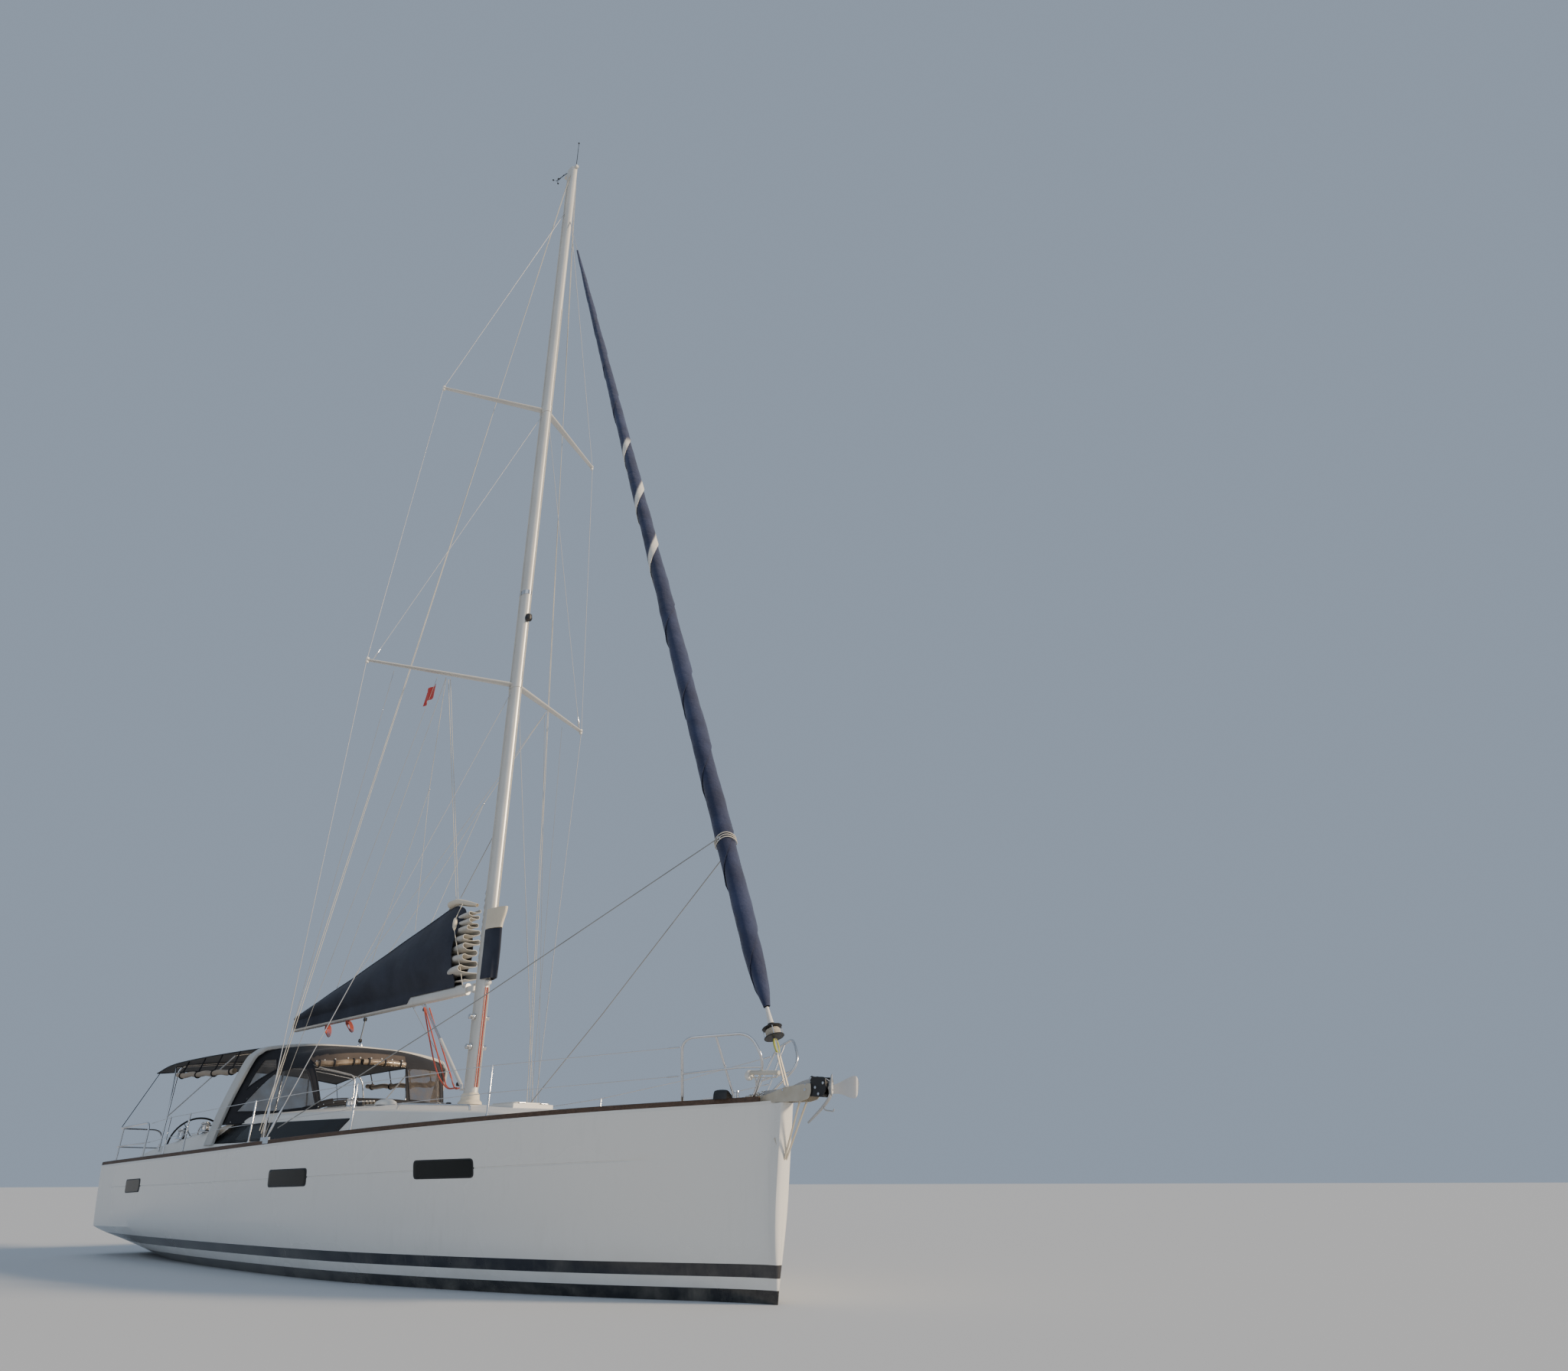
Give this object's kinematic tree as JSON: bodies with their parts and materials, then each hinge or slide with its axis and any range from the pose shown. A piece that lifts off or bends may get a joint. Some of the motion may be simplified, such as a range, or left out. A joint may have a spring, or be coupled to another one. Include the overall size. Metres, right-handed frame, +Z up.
{
  "type": "sailing yacht",
  "caption": "Cruising sloop afloat with fin keel, furled headsail, boom with sail bag, coachroof, cockpit arch, dodger, bimini and twin steering wheels.",
  "frame": {"origin": "amidships on the centre line, at the waterline", "axes": "+X forward to the bow, +Y to port, +Z up along the mast"},
  "size_m": [14.974, 4.24, 23.45],
  "materials": {
    "gelcoat": "glossy white gelcoat, lightly chalked, dark stripes at the waterline",
    "bottom_paint": "matt black antifouling",
    "black_fitting": "black anodised and moulded fittings",
    "bronze": "dull bronze",
    "toe_rail_timber": "weathered dark brown timber",
    "tinted_glass": "near-black tinted acrylic",
    "spar_alloy": "satin anodised",
    "stainless": "polished stainless steel",
    "galvanised_steel": "dull galvanised steel",
    "canvas": "dark navy acrylic canvas",
    "sail_cloth": "navy sun strip over pale sailcloth, rolled",
    "teak": "oiled teak",
    "wheel_leather": "black stitched leather on stainless steel"
  },
  "bodies": {
    "root": {"hull": "gelcoat", "deck": "gelcoat", "keel": "bottom_paint", "sail_drive": "black_fitting", "toe_rail_starboard": "toe_rail_timber", "toe_rail_port": "toe_rail_timber", "coachroof_window_starboard": "tinted_glass", "coachroof_window_port": "tinted_glass", "mast": "spar_alloy", "spreaders_lower": "spar_alloy", "spreaders_upper": "spar_alloy", "forestay_foot": "stainless", "forestay_head": "stainless", "bow_roller": "stainless", "anchor": "galvanised_steel", "cockpit_arch": "gelcoat", "dodger": "canvas", "bimini": "canvas", "bimini_hoop": "stainless", "cockpit_table": "teak", "cap_shroud_starboard": "stainless", "lower_shroud_starboard": "stainless", "intermediate_shroud_starboard": "stainless", "pulpit_starboard": "stainless", "pushpit_starboard": "stainless", "guardrail_starboard": "stainless", "helm_console_starboard": "gelcoat", "cap_shroud_port": "stainless", "lower_shroud_port": "stainless", "intermediate_shroud_port": "stainless", "pulpit_port": "stainless", "pushpit_port": "stainless", "guardrail_port": "stainless", "helm_console_port": "gelcoat"},
    "boom": {"boom": "spar_alloy", "sail_bag": "canvas", "vang": "stainless"},
    "furler": {"furled_genoa": "sail_cloth", "furler_drum": "black_fitting"},
    "rudder": {"rudder": "bottom_paint"},
    "wheel_starboard": {"steering_wheel_starboard": "wheel_leather"},
    "wheel_port": {"steering_wheel_port": "wheel_leather"},
    "propeller": {"propeller": "bronze"},
    "swim_platform": {"swim_platform": "gelcoat"},
    "fore_hatch": {"fore_hatch": "tinted_glass"},
    "saloon_hatch": {"saloon_hatch": "tinted_glass"},
    "locker_lid": {"anchor_locker_lid": "gelcoat"},
    "companion_hatch": {"companionway_hatch": "tinted_glass"}
  },
  "joints": [
    {"name": "boom_swing", "type": "hinge", "parent": "root", "child": "boom", "pos_m": [0.8, 0, 3.58], "axis": [0, 0, 1], "range_deg": [-50, 50]},
    {"name": "furler_turn", "type": "hinge", "parent": "root", "child": "furler", "pos_m": [7.09, 0, 1.85], "axis": [-0.3375, 0, 0.9413], "continuous": true},
    {"name": "rudder_turn", "type": "hinge", "parent": "root", "child": "rudder", "pos_m": [-5.75, 0, -0.245], "axis": [0, 0, 1], "range_deg": [-35, 35]},
    {"name": "wheel_starboard_turn", "type": "hinge", "parent": "root", "child": "wheel_starboard", "pos_m": [-5.67, -1.1, 1.59], "axis": [1, 0, 0], "range_deg": [-245, 245]},
    {"name": "wheel_port_turn", "type": "hinge", "parent": "root", "child": "wheel_port", "pos_m": [-5.67, 1.1, 1.59], "axis": [1, 0, 0], "range_deg": [-245, 245]},
    {"name": "propeller_spin", "type": "hinge", "parent": "root", "child": "propeller", "pos_m": [-3.56, 0, -0.98], "axis": [1, 0, 0], "continuous": true},
    {"name": "swim_platform_fold", "type": "hinge", "parent": "root", "child": "swim_platform", "pos_m": [-7.1, 0, 0.31], "axis": [0, -1, 0], "range_deg": [0, 90]},
    {"name": "fore_hatch_lift", "type": "hinge", "parent": "root", "child": "fore_hatch", "pos_m": [5.076, 0, 1.7533], "axis": [0, 1, 0], "range_deg": [0, 80]},
    {"name": "saloon_hatch_lift", "type": "hinge", "parent": "root", "child": "saloon_hatch", "pos_m": [2.606, 0, 1.9493], "axis": [0, 1, 0], "range_deg": [0, 80]},
    {"name": "locker_lid_lift", "type": "hinge", "parent": "root", "child": "locker_lid", "pos_m": [5.404, 0, 1.7873], "axis": [0, -1, 0], "range_deg": [0, 75]},
    {"name": "companion_hatch_slide", "type": "slide", "parent": "root", "child": "companion_hatch", "axis": [1, 0, 0], "range_m": [0, 0.52]}
  ],
  "couplings": [
    {"joint": "wheel_starboard_turn", "follows": "rudder_turn", "ratio": 7},
    {"joint": "wheel_port_turn", "follows": "rudder_turn", "ratio": 7}
  ]
}
